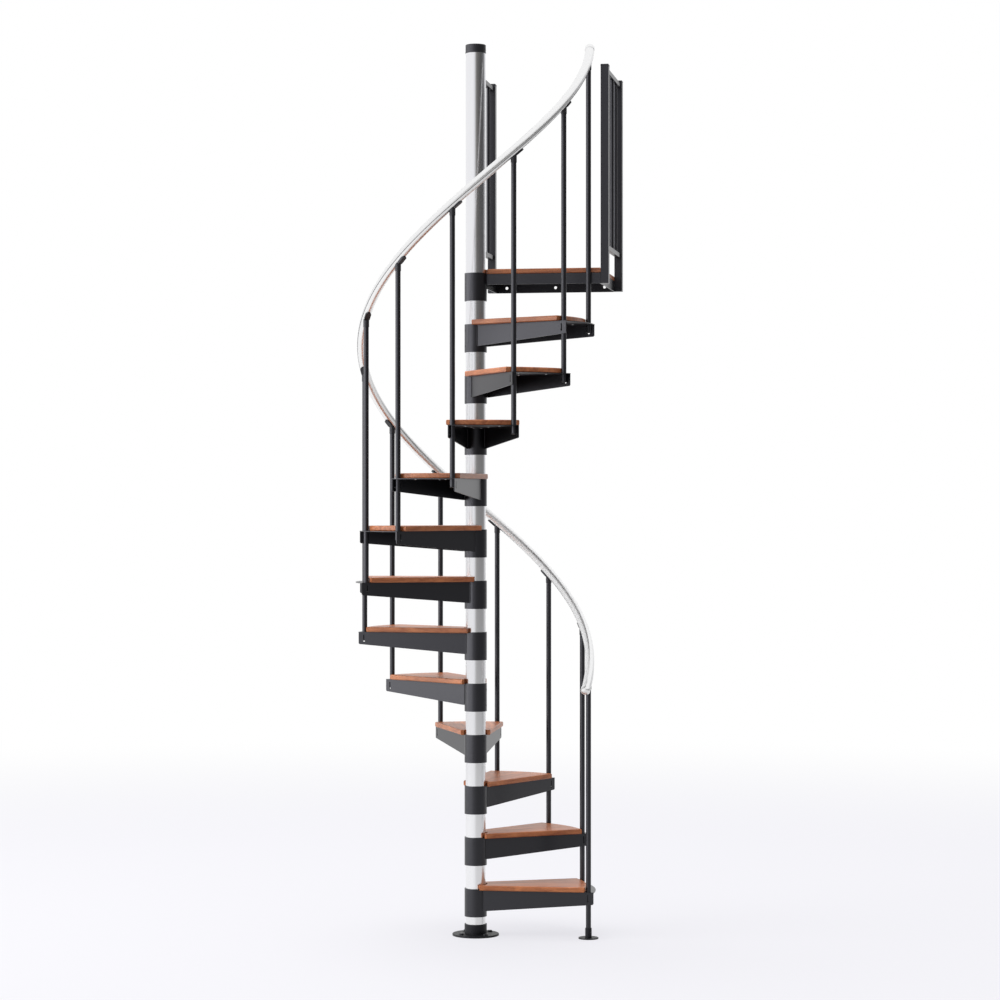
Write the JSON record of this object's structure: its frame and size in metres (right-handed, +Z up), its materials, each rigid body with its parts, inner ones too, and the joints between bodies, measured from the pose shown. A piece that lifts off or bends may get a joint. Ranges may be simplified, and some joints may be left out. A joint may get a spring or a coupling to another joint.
{
  "type": "spiral staircase",
  "caption": "One-turn spiral staircase with wooden treads on tapered steel brackets round a pole, slim balusters, a pale handrail and a railed landing.",
  "frame": {"origin": "centre of the base plate's underside, on the pole's axis", "axes": "+Z up along the pole, +X along the landing's front edge, +Y across the landing to the upper floor"},
  "size_m": [1.0892, 1.03, 3.823],
  "materials": {
    "dark_steel": "satin",
    "bare_steel": "satin",
    "pale_tube": "satin",
    "pale_rail": "satin",
    "dark_plastic": "satin",
    "stained_wood": "varnished"
  },
  "bodies": {
    "root": {"base_plate": "dark_steel", "pole_core": "bare_steel", "pole_spacers": "pale_tube", "upper_tube": "pale_tube", "pole_cap": "dark_plastic", "tread_bracket_01": "dark_steel", "tread_bracket_02": "dark_steel", "tread_bracket_03": "dark_steel", "tread_bracket_04": "dark_steel", "tread_bracket_05": "dark_steel", "tread_bracket_06": "dark_steel", "tread_bracket_07": "dark_steel", "tread_bracket_08": "dark_steel", "tread_bracket_09": "dark_steel", "tread_bracket_10": "dark_steel", "tread_bracket_11": "dark_steel", "tread_bracket_12": "dark_steel", "tread_board_01": "stained_wood", "tread_board_02": "stained_wood", "tread_board_03": "stained_wood", "tread_board_04": "stained_wood", "tread_board_05": "stained_wood", "tread_board_06": "stained_wood", "tread_board_07": "stained_wood", "tread_board_08": "stained_wood", "tread_board_09": "stained_wood", "tread_board_10": "stained_wood", "tread_board_11": "stained_wood", "tread_board_12": "stained_wood", "baluster_00": "dark_steel", "baluster_01": "dark_steel", "baluster_02": "dark_steel", "baluster_03": "dark_steel", "baluster_04": "dark_steel", "baluster_05": "dark_steel", "baluster_06": "dark_steel", "baluster_07": "dark_steel", "baluster_08": "dark_steel", "baluster_09": "dark_steel", "baluster_10": "dark_steel", "baluster_11": "dark_steel", "baluster_12": "dark_steel", "baluster_foot": "dark_steel", "handrail": "pale_rail", "handrail_saddles": "dark_plastic", "landing_frame": "dark_steel", "landing_board": "stained_wood", "railing_panel_left": "dark_steel", "railing_panel_right": "dark_steel"}
  },
  "joints": []
}
